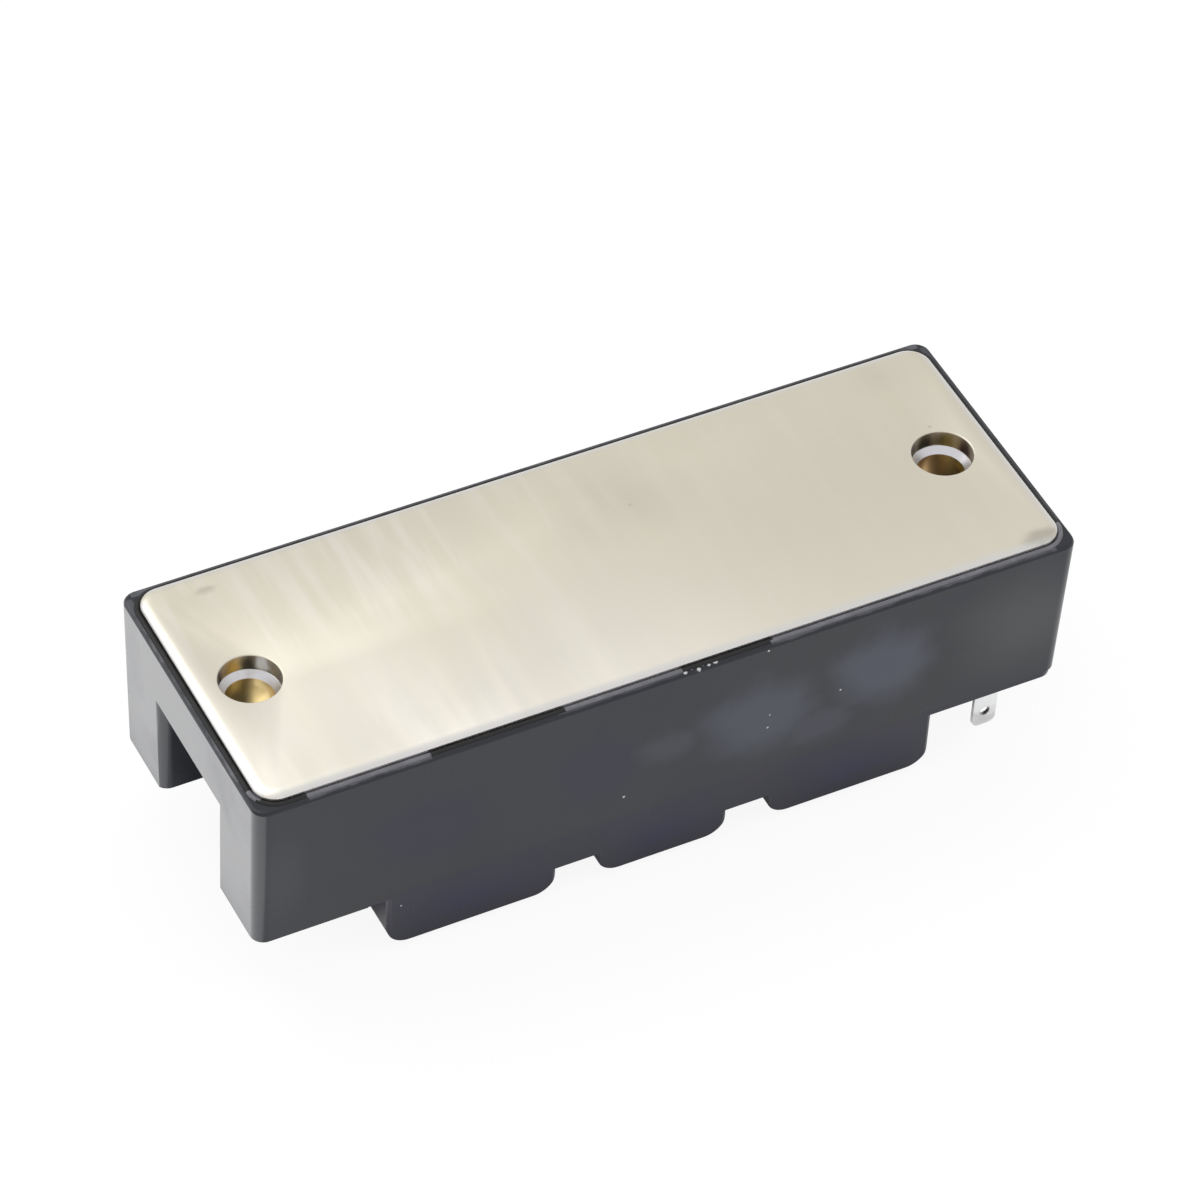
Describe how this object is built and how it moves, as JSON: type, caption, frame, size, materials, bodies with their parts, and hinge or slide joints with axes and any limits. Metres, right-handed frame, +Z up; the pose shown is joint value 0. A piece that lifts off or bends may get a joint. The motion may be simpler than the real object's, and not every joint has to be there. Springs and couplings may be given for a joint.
{
  "type": "igbt module",
  "caption": "Half-bridge power transistor module in a black plastic housing, standing on its screw terminals with its nickel-plated base plate and its mounting holes facing up.",
  "frame": {"origin": "middle of the footprint, on the plane of the three screw terminal faces that the module stands on", "axes": "+X along the long side towards the plug tabs, +Y across, +Z up, out of the base plate's mounting face"},
  "size_m": [0.094, 0.034, 0.029],
  "materials": {
    "nickel_plate": "nickel-plated copper, satin with faint streaks",
    "black_plastic": "moulded black polyester, semi-gloss",
    "black_sealant": "black silicone sealant, glossy",
    "brass": "turned brass, bright",
    "tinned_copper": "tin-plated copper strip, satin",
    "zinc_steel": "zinc-plated steel",
    "tinned_brass": "tin-plated brass strip, satin",
    "solder": "soft solder",
    "bare_copper": "bare copper",
    "white_ceramic": "white alumina ceramic",
    "chip_metal": "metallised silicon",
    "wire_aluminium": "aluminium bond wire",
    "clear_gel": "clear soft silicone gel"
  },
  "bodies": {
    "root": {"base_plate": "nickel_plate", "frame": "black_plastic", "base_sealant": "black_sealant", "mounting_bushings": "brass", "cover": "black_plastic", "terminal_left": "tinned_copper", "terminal_middle": "tinned_copper", "terminal_right": "tinned_copper", "terminal_nuts": "zinc_steel", "tab_gate_near": "tinned_brass", "tab_source_near": "tinned_brass", "tab_source_far": "tinned_brass", "tab_gate_far": "tinned_brass", "substrate_solder": "solder", "substrate_backs": "bare_copper", "substrate_ceramics": "white_ceramic", "substrate_tracks": "bare_copper", "transistor_chips": "chip_metal", "diode_chips": "chip_metal", "power_wires": "wire_aluminium", "gate_wires": "wire_aluminium", "silicone_gel": "clear_gel"}
  },
  "joints": []
}
